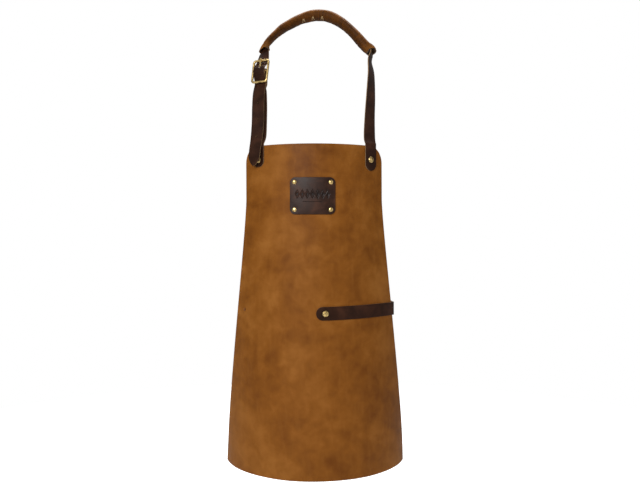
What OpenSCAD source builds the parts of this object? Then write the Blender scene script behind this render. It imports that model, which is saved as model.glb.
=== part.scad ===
// Leather bib apron, curved as it hangs, with a padded neck strap, a waist strap and brass hardware.
// The origin is the underside of the neck pad, where the apron hangs. The front faces -Y, +Z is up.

/* [Panel] */
// Height of the panel from hem to top edge
panel_h = 800; // [760:10:800]
// Width of the flat panel at the hem
hem_w = 614; // [560:2:620]
// Width of the flat panel across the chest
chest_w = 369; // [350:1:369]
// Height above the hem at which the sides begin to spread
spread_h = 670; // [600:10:680]
// Outside radius that the panel hangs in
bend_r = 240; // [239:1:240]
// Thickness of the panel leather
panel_t = 2; // [1.6:0.1:2.2]
// Angle that the panel is turned about its axis at the hem
hem_turn = 0.5; // [-1:0.1:1]
// Angle that the panel is turned about its axis at its top edge
top_turn = -0.8; // [-1:0.1:-0.8]
// Radius of the two top corners
corner_r = 40; // [20:1:50]

/* [Straps] */
// Width of every strap
strap_w = 32; // [29:1:32]
// Thickness of every strap
strap_t = 2.5; // [2.2:0.1:2.5]
// Angle from the panel's centre line to each neck rivet
neck_angle = 34.2; // [33:0.2:36]
// Distance from the panel's top edge down to the neck rivets
neck_rivet_drop = 34; // [32:1:40]
// Height of the waist strap above the hem at its front end
waist_h = 397; // [392:1:420]
// Rise of the waist strap from its front end to the panel's edge
waist_rise = 4; // [0:1:12]
// Distance between two adjusting holes
hole_pitch = 52; // [48:1:56]

/* [Label] */
// Width of the label
label_w = 108; // [96:1:120]
// Height of the label
label_h = 88; // [84:1:100]
// Distance from the panel's top edge to the label's centre
label_drop = 124; // [115:1:160]
// Distance from the panel's middle to the label's centre
label_x = -2; // [-10:0.5:10]

/* [Neck pad] */
// Width of the pad from front to back
pad_w = 40; // [40:1:46]
// Thickness of the pad at its middle
pad_t = 27; // [25:1:28]
// Thickness of the pad's leather cover
cover_t = 2; // [1.6:0.1:2.2]

/* [Buckles] */
// Diameter of the buckle wire
wire_d = 6; // [5.5:0.1:6.1]
// Width of a buckle between the centres of its side bars
buckle_w = 42; // [42:0.5:44]
// Length of a buckle between the centres of its end bars
buckle_l = 57.5; // [57.5:0.5:58.5]

/* [Rivets] */
// Diameter of the domed caps on the straps
strap_cap_d = 15; // [12:0.5:16]
// Diameter of the domed caps on the label
label_cap_d = 11; // [9:0.5:12]
// Diameter of the rivet posts
post_d = 4; // [3:0.1:4.4]

/* [Hidden] */
$fn = 48;

// Clearance between leather layers, and between a rivet and its hole
gap = 0.15;
// Clearance between a turning eye and its bar
running = 0.06;
// Gap that lets a flat rivet face sit on curved leather
seat = 0.2;
// Length of a cutter that goes right through what it cuts, and its overshoot past a face
through = 40;
over = 1;
panel_fn = 180;

// Drop from the hang point to the hem
drop = 1154.5;
hem_z = -drop;
top_z = hem_z + panel_h;
// Distance that the panel's axis stands behind the hang point
axis_y = 47;
panel_in_r = bend_r - panel_t;
// How fast the panel's sides spread towards the hem
spread_power = 1.25;
// Radii of the middle of a strap lying on the panel's outside and inside
outer_strap_r = bend_r + gap + strap_t / 2;
inner_strap_r = panel_in_r - gap - strap_t / 2;
neck_rivet_z = top_z - neck_rivet_drop;
// Distances from the round ends of the right and left neck straps to their rivets
right_inset = 26.5;
left_inset = 18;
// Height above the panel's top edge at which the neck straps leave its curve
leave_h = 4;
label_z = top_z - label_drop;
label_corner_r = 13;
label_rivet_x = 43;
label_rivet_z = 32.5;
waist_z = hem_z + waist_h;

// Length of a strap's pointed end, how blunt it is, and the steps in an end
point_l = 20;
point_power = 0.55;
end_steps = 5;
strap_hole_d = 5;
// Distance from the tail's tip to its first hole
first_hole = 75;
hole_count = 3;

// Rivet caps, backs and posts
strap_cap_h = 3.6;
label_cap_h = 2.8;
cap_post_depth = 1.6;
back_t = 1.2;
strap_back_d = 12;
label_back_d = 9;
fold_cap_d = 9;
fold_cap_h = 1.2;
side_cap_d = 8;
side_cap_h = 1;

// Centre, sideways turn and lean of the neck buckle
neck_buckle_at = [-138.6, -73, -153.5];
neck_buckle_turn = 25;
neck_buckle_lean = 12;
// Centre of the waist buckle, behind the wearer
waist_buckle_at = [0, 74, waist_z + waist_rise];
buckle_bend = 6;
// Prong, with its eye on the centre bar: outline [y, z]
prong_w = 4;
eye_r = 5.2;
prong_outline = [
    [-3.6, 3], [-3.9, 14.5], [-5.7, 26.3], [-5.9, 32], [-4.7, 34.2], [-3.35, 33.4],
    [-3.2, 27.4], [-1.4, 15.5], [-0.4, 3.4]
];
// Slot in the strap that the prong stands through
prong_slot_w = 5;
prong_slot_from = 4.5;
prong_slot_to = 19;

// Wave that the loose strap makes through a buckle: over the centre bar, behind both end bars
wave_half = 33;
wave_mid = -0.4;
wave_depth = 7.6;
// Middle radius of the leather fold round the centre bar
fold_r = wire_d / 2 + 0.3 + strap_t / 2;
// Route of the fold, from behind the lower bar up over the centre bar and back down: [y, z]
fold_route = [
    [10.9, -47], [10.9, -40], [10.9, -34], [9.9, -28], [7.6, -22], [3.9, -16], [-0.3, -10.2], [-3.4, -5.2],
    [-fold_r, 0], [-fold_r * 0.7, fold_r * 0.7], [0, fold_r], [fold_r * 0.7, fold_r * 0.7], [fold_r, 0],
    [5.8, -5], [8.1, -10], [10.7, -16], [12.6, -22], [13.6, -28], [14, -35], [13.9, -47]
];
// Slot in the fold for the prong, and the place and grip of the fold's rivet
fold_slot_w = 5.6;
fold_slot_from = -7;
fold_slot_l = 20;
fold_rivet_y = 10.9;
fold_rivet_z = -40;
fold_grip = 2 * strap_t + 0.7;

// Route of the neck strap above the panel on the right, then over the neck: [x, y, z, turn of its width]
right_rise_route = [
    [133.5, -143, -333, 32], [136, -119, -278, 41], [140.5, -93, -218, 48], [143.5, -68, -158, 60],
    [142.5, -46, -119, 72]
];
pad_route = [
    [146.5, -34, -93, 80], [132, -34, -80, 88], [117, -30, -62, 90], [92, -20, -32, 90], [66, -10, -7.5, 90],
    [37, -3, 8.5, 90], [3, 0, 13.5, 90], [-32, 0, 5.5, 90], [-63, -5, -11, 90], [-92, -14, -31.5, 90],
    [-117, -28, -60.5, 92], [-126.2, -32.5, -73.6, 102], [-131.5, -37, -89, 120]
];
left_drop_route = [[-131.5, -46, -103, 133]];
// Route of the free tail below the neck buckle, and of the buckle strap behind it
tail_route = [
    [-141.5, -84, -212, 158], [-141.5, -102, -250, 160], [-140, -126, -295, 160], [-141, -148, -335, 156],
    [-144.5, -158, -367, 152], [-147.5, -160, -404, 150]
];
neck_buckle_strap_route = [
    [-132, -142, -333, 150], [-132.5, -119, -295, 152], [-134, -95, -250, 154], [-136.5, -76.5, -212, 155]
];
// Steps between two places of those routes
neck_steps = 4;
fold_steps = 3;

// Share of the pad's thickness from its right end, at 0, to its left end, at 1
pad_profile = [
    [0, 1], [0.12, 0.94], [0.22, 0.84], [0.32, 0.91], [0.42, 1], [0.55, 0.97], [0.66, 0.85], [0.76, 0.77],
    [0.86, 0.57], [0.93, 0.62], [1, 0.78]
];
pad_sides = 20;
// Squareness of the pad's oval and of the strap's passage through the foam
pad_power = 2.4;
bore_power = 8;
foam_gap = 0.6;
// Clearance of the strap in the foam across its width and its thickness
bore_side = 0.9;
bore_face = 1.2;
// Rings of the cover that the foam leaves free at its right and left ends
foam_from = 2;
foam_to = 4;
// Stitches under the pad
stitch_count = 3;
stitch_pitch = 29;
stitch_l = 12;
stitch_d = 1.8;
stitch_lean = 20;
stitch_lift = 0.9;
// Distances of the stitches' middle past the pad's middle, and towards the front
stitch_shift = 14;
stitch_front = 4;

// Plan of the waist strap: where each half leaves the panel, its bends and its line behind the wearer
belt_off_right = 53.8;
belt_off_left = 50;
belt_side_turn = 95;
belt_side_r = 16;
belt_back_r = 90;
belt_back_right = 71;
belt_back_left = waist_buckle_at[1] - fold_rivet_y;
// Distance from the middle over which the front of the strap climbs
belt_climb_x = 190;
// Steps of the plan's arcs in degrees: on the panel, and in the bends
belt_step = 2.5;
bend_step = 7;
// Angles of the front end, of the front rivet, of the rivet inside the left edge and of the end behind it
waist_front_a = 0.9;
waist_rivet_a = 6.2;
waist_side_a = -46;
waist_left_end_a = 41;
// Run of the right half towards its buckle, and of its free tail after it: [x, distance before the buckle]
belt_run_in = [[60, 4.5]];
belt_tail = [[-45, 5], [-60, 5], [-80, 5], [-90, 5]];

function unit(v) = v / norm(v);
function level(a) = [cos(a), sin(a), 0];
function xyz(row) = [row[0], row[1], row[2]];
function side(row) = [row[3], row[4], row[5]];
function ease(t) = t * t * (3 - 2 * t);

// Smooth curve through the rows of a route
function spline(a, b, c, d, t) =
    0.5 * (2 * b + (c - a) * t + (2 * a - 5 * b + 4 * c - d) * t * t + (3 * b - a - 3 * c + d) * t * t * t);
function smooth(route, steps) = [
    for (i = [0 : len(route) - 2], k = [0 : steps - 1])
        spline(route[max(i - 1, 0)], route[i], route[i + 1], route[min(i + 2, len(route) - 1)], k / steps),
    route[len(route) - 1]
];

// Point at an angle about the panel's axis, 0 at the front
function around(a, r, z) = [r * sin(a), axis_y - r * cos(a), z];
// Turns a route's fourth value into the direction of the strap's width
function with_side(rows) = [for (row = rows) concat(xyz(row), level(row[3]))];

// Places of points given in the frames of the two buckles
function neck_place(p) =
    let (
        y = p[1] * cos(neck_buckle_lean) + p[2] * sin(neck_buckle_lean),
        z = -p[1] * sin(neck_buckle_lean) + p[2] * cos(neck_buckle_lean)
    )
    neck_buckle_at
    + [p[0] * cos(neck_buckle_turn) + y * sin(neck_buckle_turn),
       -p[0] * sin(neck_buckle_turn) + y * cos(neck_buckle_turn), z];
function waist_place(p) = waist_buckle_at + [p[2], -p[1], p[0]];

// Points of the strap's wave through a buckle, from above it to below it
function wave(from_z, to_z, steps) = [
    for (i = [0 : steps])
        let (z = from_z + (to_z - from_z) * i / steps)
            [0, wave_mid - wave_depth * cos(180 * z / wave_half), z]
];

// Distance along a path to each of its rows, and the rows at chosen distances
function next(path, i) = path[min(i + 1, len(path) - 1)];
function run(path) = [
    for (i = 0, s = 0; i < len(path); s = s + norm(xyz(next(path, i)) - xyz(path[i])), i = i + 1) s
];
function rows_at(path, places) =
    let (
        d = run(path),
        tables = [for (k = [0 : 5]) [for (i = [0 : len(path) - 1]) [d[i], path[i][k]]]]
    )
    [for (s = places) [for (k = [0 : 5]) lookup(s, tables[k])]];
function path_length(path) = run(path)[len(path) - 1];

// Frame of a path's row: along it, across its width and towards its inner face
function along(rows, i) = unit(xyz(next(rows, i)) - xyz(rows[max(i - 1, 0)]));
function inward(rows, i) = unit(cross(along(rows, i), side(rows[i])));
function across(rows, i) = cross(inward(rows, i), along(rows, i));

// Distances of a round or pointed end's stations from its tip, and its half width there
function end_places(pointed) =
    pointed
        ? [for (k = [0 : end_steps]) over + k * (point_l - over) / end_steps]
        : [for (k = [1 : end_steps]) strap_w / 2 * (1 - cos(90 * k / end_steps))];
function end_half(e, pointed) =
    let (h = strap_w / 2)
    pointed ? h * pow(min(e / point_l, 1), point_power) : sqrt(max(h * h - pow(max(h - e, 0), 2), 0));

// Distances of all the stations of a strap: its two ends, and the places of its path between them
function strap_places(path, stop_pointed) =
    let (
        length = path_length(path),
        a = end_places(false),
        b = end_places(stop_pointed),
        from = a[len(a) - 1],
        to = length - b[len(b) - 1]
    )
    concat(
        a,
        [for (s = run(path)) if (s > from + over && s < to - over) s],
        [for (i = [0 : len(b) - 1]) length - b[len(b) - 1 - i]]
    );

function strap_ring(rows, i, half) =
    let (p = xyz(rows[i]), w = across(rows, i) * half, n = inward(rows, i) * strap_t / 2)
    [p + w + n, p - w + n, p - w - n, p + w - n];

// Solid through a list of rings, with flat ends
module skin(rings) {
    count = len(rings[0]);
    last = len(rings) - 1;
    points = [for (ring = rings, p = ring) p];
    walls = [
        for (i = [0 : last - 1], k = [0 : count - 1])
            let (a = i * count + k, b = i * count + (k + 1) % count, c = b + count, d = a + count)
                each [[a, d, c], [a, c, b]]
    ];
    start_cap = [for (k = [1 : count - 2]) [0, k, k + 1]];
    stop_cap = [for (k = [1 : count - 2]) [last * count, last * count + k + 1, last * count + k]];
    polyhedron(points, concat(start_cap, walls, stop_cap), convexity = 10);
}

// Open-ended tube between outer and inner rings
module tube(outer, inner) {
    count = len(outer[0]);
    last = len(outer) - 1;
    shift = count * (last + 1);
    points = concat([for (ring = outer, p = ring) p], [for (ring = inner, p = ring) p]);
    walls = [
        for (i = [0 : last - 1], k = [0 : count - 1])
            let (a = i * count + k, b = i * count + (k + 1) % count, c = b + count, d = a + count)
                each [
                    [a, d, c], [a, c, b],
                    [a + shift, c + shift, d + shift], [a + shift, b + shift, c + shift]
                ]
    ];
    rims = [
        for (k = [0 : count - 1])
            let (a = k, b = (k + 1) % count, c = last * count + a, d = last * count + b)
                each [
                    [a, b, b + shift], [a, b + shift, a + shift],
                    [c, d + shift, d], [c, c + shift, d + shift]
                ]
    ];
    polyhedron(points, concat(walls, rims), convexity = 10);
}

// Strap along a path, with a round or a pointed end
module strap(path, stop_pointed = false) {
    length = path_length(path);
    places = strap_places(path, stop_pointed);
    rows = rows_at(path, places);
    skin([
        for (i = [0 : len(rows) - 1])
            strap_ring(rows, i, min(end_half(places[i], false), end_half(length - places[i], stop_pointed)))
    ]);
}

// Turns Z towards a direction
function aim(n) = [0, acos(n[2]), atan2(n[1], n[0])];

// Round holes through a strap at distances from its far end
module strap_holes(path, distances) {
    length = path_length(path);
    for (e = distances) {
        rows = rows_at(path, [length - e - over, length - e, length - e + over]);
        translate(xyz(rows[1])) rotate(aim(inward(rows, 1)))
            cylinder(d = strap_hole_d, h = strap_t * 3, center = true);
    }
}

// Places a child on the panel at an angle and height, its Z pointing outward from radius r
module on_panel(a, z, r) {
    translate(around(a, r, z)) rotate([0, 0, a]) rotate([90, 0, 0]) children();
}

// Clearance hole for a rivet on the panel
module rivet_hole(a, z) {
    on_panel(a, z, bend_r) cylinder(d = post_d + 2 * gap, h = through, center = true);
}

// Frames of the two buckles: X along the bars, -Y outward, the strap comes from +Z
module at_neck_buckle() {
    translate(neck_buckle_at) rotate([-neck_buckle_lean, 0, -neck_buckle_turn]) children();
}
module at_waist_buckle() {
    translate(waist_buckle_at) rotate([180, 0, 0]) rotate([0, 90, 0]) children();
}

// Domed rivet cap with a blind hole for its post, standing on z = 0
module rivet_cap(d, h) {
    ball_r = (d * d / 4 + h * h) / (2 * h);
    rotate_extrude() difference() {
        intersection() {
            translate([0, h - ball_r]) circle(r = ball_r, $fn = 96);
            square([d / 2, h]);
        }
        square([post_d / 2 + running, cap_post_depth]);
    }
}
// Flat rivet back with its post, its inner face on z = 0 and its post towards +Z
module rivet_back(d, post_h) {
    translate([0, 0, -back_t]) cylinder(d = d, h = back_t);
    cylinder(d = post_d, h = post_h);
}

// Length of a post through a number of leather layers into its cap
function post_l(leather) = leather + 2 * seat + cap_post_depth - gap;

// Half width of the flat panel at a height above the hem
function panel_half(h) =
    let (
        body = h < spread_h
            ? chest_w / 2 + (hem_w - chest_w) / 2 * pow((spread_h - h) / spread_h, spread_power)
            : chest_w / 2,
        e = max(h - (panel_h - corner_r), 0)
    )
    body - (corner_r - sqrt(corner_r * corner_r - e * e));
// Angle that the panel is turned at a height above the hem
function panel_turn(h) = hem_turn + (top_turn - hem_turn) * h / panel_h;

// Wedge that trims the panel's shell to its cut outline
module panel_outline() {
    rows = 16;
    corner_rows = 7;
    heights = concat(
        [for (i = [0 : rows]) (panel_h - corner_r) * i / rows],
        [for (k = [1 : corner_rows]) panel_h - corner_r + corner_r * sin(90 * k / corner_rows)]
    );
    inside = bend_r * 0.95;
    outside = bend_r * 1.15;
    far = bend_r * 1.6;
    skin([
        for (h = heights)
            let (a = panel_half(h) / bend_r * 180 / PI, t = panel_turn(h), z = hem_z + h)
                [around(t - a, inside, z), around(t - a, outside, z), around(t - a / 2, far, z),
                 around(t + a / 2, far, z), around(t + a, outside, z), around(t + a, inside, z)]
    ]);
}

module shell(r_in, r_out, z, h) {
    translate([0, axis_y, z]) difference() {
        cylinder(r = r_out, h = h, $fn = panel_fn);
        translate([0, 0, -over]) cylinder(r = r_in, h = h + 2 * over, $fn = panel_fn);
    }
}

label_rivets = [for (sx = [-1, 1], sz = [-1, 1]) [sx * label_rivet_x, label_z + sz * label_rivet_z]];
label_turn = panel_turn(panel_h - label_drop);
function label_angle(x) = label_turn + (label_x + x) / bend_r * 180 / PI;

module apron_panel() {
    color("#8a5428") difference() {
        intersection() {
            shell(panel_in_r, bend_r, hem_z, panel_h);
            panel_outline();
        }
        for (s = [-1, 1]) rivet_hole(s * neck_angle, neck_rivet_z);
        for (p = label_rivets) rivet_hole(label_angle(p[0]), p[1]);
        rivet_hole(waist_rivet_a, waist_z);
        rivet_hole(waist_side_a, waist_buckle_at[2]);
    }
}

module label_outline() {
    square([label_w - 2 * label_corner_r, label_h], center = true);
    square([label_w, label_h - 2 * label_corner_r], center = true);
    for (sx = [-1, 1], sy = [-1, 1])
        translate([sx * (label_w / 2 - label_corner_r), sy * (label_h / 2 - label_corner_r)])
            circle(r = label_corner_r);
}

module label_patch() {
    color("#3e281e") difference() {
        intersection() {
            shell(bend_r + gap, bend_r + gap + strap_t, label_z - label_h / 2 - over, label_h + 2 * over);
            translate([0, axis_y, label_z]) rotate([0, 0, label_angle(0)]) rotate([90, 0, 0])
                linear_extrude(2 * bend_r) label_outline();
        }
        for (p = label_rivets) rivet_hole(label_angle(p[0]), p[1]);
    }
}

module label_rivet_caps() {
    color("#c8a664") for (p = label_rivets)
        on_panel(label_angle(p[0]), p[1], bend_r + gap + strap_t + seat) rivet_cap(label_cap_d, label_cap_h);
}
module label_rivet_backs() {
    color("#b08d4a") for (p = label_rivets)
        on_panel(label_angle(p[0]), p[1], panel_in_r - seat)
            rivet_back(label_back_d, post_l(panel_t + gap + strap_t));
}

// Rows of a neck strap's foot up the panel, from its round end to the panel's top edge
function foot(a, turn, inset) = [
    for (z = [neck_rivet_z - inset, neck_rivet_z, top_z]) concat(around(a, outer_strap_r, z), [turn])
];
function leaving(a, turn) = [concat(around(a, outer_strap_r, top_z + leave_h), [turn])];

// Path of the long neck strap: right rivet, over the neck, through the buckle, free tail
neck_foot = foot(neck_angle, neck_angle, right_inset);
neck_wave = [for (p = wave(wave_half, -wave_half, 8)) concat(neck_place(p), [180 - neck_buckle_turn])];
neck_path = with_side(concat(
    neck_foot,
    smooth(
        concat(
            leaving(neck_angle, neck_angle),
            right_rise_route,
            pad_route,
            left_drop_route,
            neck_wave,
            tail_route
        ),
        neck_steps
    )
));

module prong_slot() {
    r = prong_slot_w / 2;
    rotate([90, 0, 0]) linear_extrude(through, center = true) {
        translate([-r, prong_slot_from + r]) square([2 * r, prong_slot_to - prong_slot_from - 2 * r]);
        for (z = [prong_slot_from + r, prong_slot_to - r]) translate([0, z]) circle(r = r);
    }
}

module neck_strap() {
    color("#3a261c") difference() {
        strap(neck_path, true);
        rivet_hole(neck_angle, neck_rivet_z);
        at_neck_buckle() prong_slot();
        strap_holes(neck_path, [for (i = [0 : hole_count - 1]) first_hole + i * hole_pitch]);
    }
}

// Slot in the fold for the prong, and the fold rivet's hole
module fold_cuts() {
    translate([-fold_slot_w / 2, -through / 2, fold_slot_from]) cube([fold_slot_w, through, fold_slot_l]);
    translate([0, fold_rivet_y, fold_rivet_z]) rotate([90, 0, 0])
        cylinder(d = post_d + 2 * gap, h = through, center = true);
}

neck_fold = [for (p = fold_route) concat(neck_place([0, p[0], p[1]]), [180 - neck_buckle_turn])];
neck_fold_path = with_side(concat(
    foot(-neck_angle, 180 - neck_angle, left_inset),
    smooth(concat(leaving(-neck_angle, 180 - neck_angle), neck_buckle_strap_route, neck_fold), fold_steps)
));

module neck_buckle_strap() {
    color("#3a261c") difference() {
        strap(neck_fold_path);
        rivet_hole(-neck_angle, neck_rivet_z);
        at_neck_buckle() fold_cuts();
    }
}

module neck_rivet_caps() {
    color("#c8a664") for (s = [-1, 1])
        on_panel(s * neck_angle, neck_rivet_z, bend_r + gap + strap_t + seat)
            rivet_cap(strap_cap_d, strap_cap_h);
}
module neck_rivet_backs() {
    color("#b08d4a") for (s = [-1, 1])
        on_panel(s * neck_angle, neck_rivet_z, panel_in_r - seat)
            rivet_back(strap_back_d, post_l(panel_t + gap + strap_t));
}

// Flat rivet head with a blind hole for its post, standing on z = 0
module flat_cap(d, h) {
    difference() {
        cylinder(d = d, h = h);
        translate([0, 0, -over]) cylinder(d = post_d + 2 * running, h = over + h / 2);
    }
}
// Rivet through the two layers of a buckle fold
module fold_rivet_cap() {
    translate([0, fold_rivet_y - strap_t / 2 - seat, fold_rivet_z]) rotate([90, 0, 0])
        flat_cap(fold_cap_d, fold_cap_h);
}
module fold_rivet_back() {
    translate([0, fold_rivet_y + fold_grip - strap_t / 2 + seat, fold_rivet_z]) rotate([90, 0, 0])
        rivet_back(fold_cap_d, fold_grip + 2 * seat + fold_cap_h / 2 - running);
}
module neck_fold_rivet_cap() {
    color("#b08d4a") at_neck_buckle() fold_rivet_cap();
}
module neck_fold_rivet_back() {
    color("#b08d4a") at_neck_buckle() fold_rivet_back();
}

// Section of the neck pad: an oval, squarer as its power grows
function oval(a, b, power) = [
    for (k = [0 : pad_sides - 1])
        let (t = 360 * (k + 0.5) / pad_sides)
            [a * sign(cos(t)) * pow(abs(cos(t)), 2 / power), b * sign(sin(t)) * pow(abs(sin(t)), 2 / power)]
];
// The pad lies along the neck strap, with a ring on every second row of its path
pad_first = len(neck_foot) + neck_steps * (1 + len(right_rise_route));
pad_last = neck_steps * (len(pad_route) - 1) / 2;
pad_path = [for (i = [0 : pad_last]) neck_path[pad_first + 2 * i]];
function pad_share(i) = lookup(i / pad_last, pad_profile);
// One ring of the pad from a section's points
function pad_ring(i, section) =
    let (row = pad_first + 2 * i, w = across(neck_path, row), n = inward(neck_path, row))
        [for (p = section) xyz(neck_path[row]) + w * p[0] + n * p[1]];
// Rings of the pad between two rows, at a distance inside its surface
function pad_rings(inset, from, to) = [
    for (i = [from : to])
        pad_ring(i, oval(pad_w / 2 - inset, pad_t / 2 * pad_share(i) - inset, pad_power))
];

module neck_pad_cover() {
    color("#8a5428") tube(pad_rings(0, 0, pad_last), pad_rings(cover_t, 0, pad_last));
}

module neck_pad_foam() {
    bore = oval(strap_w / 2 + bore_side, strap_t / 2 + bore_face, bore_power);
    to = pad_last - foam_to;
    color("#d8cfae") tube(
        pad_rings(cover_t + foam_gap, foam_from, to),
        [for (i = [foam_from : to]) pad_ring(i, bore)]
    );
}

// Slanted stitches across the seam under the pad
module neck_pad_lacing() {
    middle = path_length(pad_path) / 2 + stitch_shift;
    color("#c9a46a") for (i = [0 : stitch_count - 1]) {
        at = middle + (i - (stitch_count - 1) / 2) * stitch_pitch;
        rows = rows_at(pad_path, [at - over, at, at + over]);
        w = across(rows, 1);
        n = inward(rows, 1);
        direction = w * cos(stitch_lean) + along(rows, 1) * sin(stitch_lean);
        translate(xyz(rows[1]) + n * ((pad_t + stitch_d) / 2 + stitch_lift) - w * stitch_front)
            rotate(aim(direction)) cylinder(d = stitch_d, h = stitch_l, center = true, $fn = 16);
    }
}

// Rectangular wire frame with a centre bar, round corners
module buckle_frame() {
    bend = buckle_bend;
    hx = buckle_w / 2;
    hz = buckle_l / 2;
    for (s = [-1, 1]) {
        translate([-hx + bend, 0, s * hz]) rotate([0, 90, 0]) cylinder(d = wire_d, h = 2 * (hx - bend));
        translate([s * hx, 0, -hz + bend]) cylinder(d = wire_d, h = 2 * (hz - bend));
    }
    for (sx = [-1, 1], sz = [-1, 1])
        translate([sx * (hx - bend), 0, sz * (hz - bend)]) mirror([sx < 0 ? 1 : 0, 0, 0])
            mirror([0, 0, sz < 0 ? 1 : 0]) rotate([90, 0, 0])
                rotate_extrude(angle = 90) translate([bend, 0]) circle(d = wire_d);
    translate([-hx, 0, 0]) rotate([0, 90, 0]) cylinder(d = wire_d, h = buckle_w);
}

// Prong with its eye on the centre bar, resting on the front of the upper bar
module buckle_prong() {
    rotate([0, 90, 0]) difference() {
        cylinder(r = eye_r, h = prong_w, center = true);
        cylinder(r = wire_d / 2 + running, h = prong_w + 2 * over, center = true);
    }
    translate([prong_w / 2, 0, 0]) rotate([0, -90, 0]) linear_extrude(prong_w)
        polygon([for (p = prong_outline) [p[1], p[0]]]);
}

module neck_buckle_frame() {
    color("#c8a664") at_neck_buckle() buckle_frame();
}
module neck_buckle_prong() {
    color("#c8a664") at_neck_buckle() buckle_prong();
}

// Plan points along an arc about a centre, angle 0 towards the front
function arc(centre, r, from, to, steps) = [
    for (i = [0 : steps])
        let (a = from + (to - from) * i / steps)
            centre + r * [sin(a), -cos(a)]
];
// Half of the waist strap's plan, from a panel angle round to its straight line behind the wearer
function belt_plan(r, start_a, off_a, back_y) =
    let (
        axis = [0, axis_y],
        side_out = [sin(belt_side_turn), -cos(belt_side_turn)],
        side_way = [cos(belt_side_turn), sin(belt_side_turn)],
        bend_c = axis + (r - belt_side_r) * [sin(off_a), -cos(off_a)],
        turned = bend_c + belt_side_r * side_out,
        corner_y = back_y - belt_back_r + belt_back_r * side_out[1],
        corner = turned + (corner_y - turned[1]) / side_way[1] * side_way
    )
    concat(
        arc(axis, r, start_a, off_a, ceil((off_a - start_a) / belt_step)),
        arc(
            bend_c, belt_side_r, off_a + bend_step, belt_side_turn,
            ceil((belt_side_turn - off_a) / bend_step)
        ),
        arc(corner - belt_back_r * side_out, belt_back_r, belt_side_turn, 180, ceil(85 / bend_step))
    );
// Height of the front of the strap, which climbs to the panel's edge
function belt_z(p) = waist_z + waist_rise * (p[1] > 0 ? 1 : ease(min(max(p[0] / belt_climb_x, 0), 1)));

// Rows of a run of the waist strap behind the wearer, its width along the given direction
function behind(run, w) = [for (p = run) [p[0], waist_buckle_at[1] - p[1], waist_buckle_at[2], 0, 0, w]];

waist_right_plan = belt_plan(outer_strap_r, waist_front_a, belt_off_right, belt_back_right);
waist_right_path = concat(
    [for (p = waist_right_plan) [p[0], p[1], belt_z(p), 0, 0, 1]],
    behind(belt_run_in, 1),
    [for (p = wave(wave_half, -wave_half, 32)) concat(waist_place(p), [0, 0, 1])],
    behind(belt_tail, 1)
);
module waist_strap_right() {
    color("#3a261c") difference() {
        strap(waist_right_path, true);
        rivet_hole(waist_rivet_a, waist_z);
        at_waist_buckle() prong_slot();
    }
}

waist_left_plan = belt_plan(inner_strap_r, waist_left_end_a, belt_off_left, belt_back_left);
waist_fold = [for (p = fold_route) concat(waist_place([0, p[0], p[1]]), [0, 0, -1])];
waist_left_path = concat(
    [for (p = waist_left_plan) [-p[0], p[1], waist_buckle_at[2], 0, 0, -1]],
    smooth(waist_fold, fold_steps)
);
module waist_strap_left() {
    color("#3a261c") difference() {
        strap(waist_left_path);
        rivet_hole(waist_side_a, waist_buckle_at[2]);
        at_waist_buckle() fold_cuts();
    }
}

module waist_front_rivet_cap() {
    color("#c8a664") on_panel(waist_rivet_a, waist_z, bend_r + gap + strap_t + seat)
        rivet_cap(strap_cap_d, strap_cap_h);
}
module waist_front_rivet_back() {
    color("#b08d4a") on_panel(waist_rivet_a, waist_z, panel_in_r - seat)
        rivet_back(strap_back_d, post_l(panel_t + gap + strap_t));
}
// Low tan rivet that fastens the waist strap inside the panel's left edge
module waist_side_rivet_cap() {
    color("#8a5428") on_panel(waist_side_a, waist_buckle_at[2], bend_r + seat)
        flat_cap(side_cap_d, side_cap_h);
}
module waist_side_rivet_back() {
    color("#b08d4a") on_panel(waist_side_a, waist_buckle_at[2], panel_in_r - gap - strap_t - seat)
        rivet_back(strap_back_d, panel_t + gap + strap_t + 2 * seat + side_cap_h / 2 - running);
}
module waist_fold_rivet_cap() {
    color("#b08d4a") at_waist_buckle() fold_rivet_cap();
}
module waist_fold_rivet_back() {
    color("#b08d4a") at_waist_buckle() fold_rivet_back();
}
module waist_buckle_frame() {
    color("#c8a664") at_waist_buckle() buckle_frame();
}
module waist_buckle_prong() {
    color("#c8a664") at_waist_buckle() buckle_prong();
}

apron_panel();
label_patch();
label_rivet_caps();
label_rivet_backs();
neck_strap();
neck_buckle_strap();
neck_rivet_caps();
neck_rivet_backs();
neck_fold_rivet_cap();
neck_fold_rivet_back();
neck_pad_cover();
neck_pad_foam();
neck_pad_lacing();
neck_buckle_frame();
neck_buckle_prong();
waist_strap_right();
waist_strap_left();
waist_front_rivet_cap();
waist_front_rivet_back();
waist_side_rivet_cap();
waist_side_rivet_back();
waist_fold_rivet_cap();
waist_fold_rivet_back();
waist_buckle_frame();
waist_buckle_prong();
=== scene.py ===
import bisect
import math

import bmesh
import bpy
from bpy.props import FloatProperty, FloatVectorProperty, IntProperty, PointerProperty
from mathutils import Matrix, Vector, noise


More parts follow.
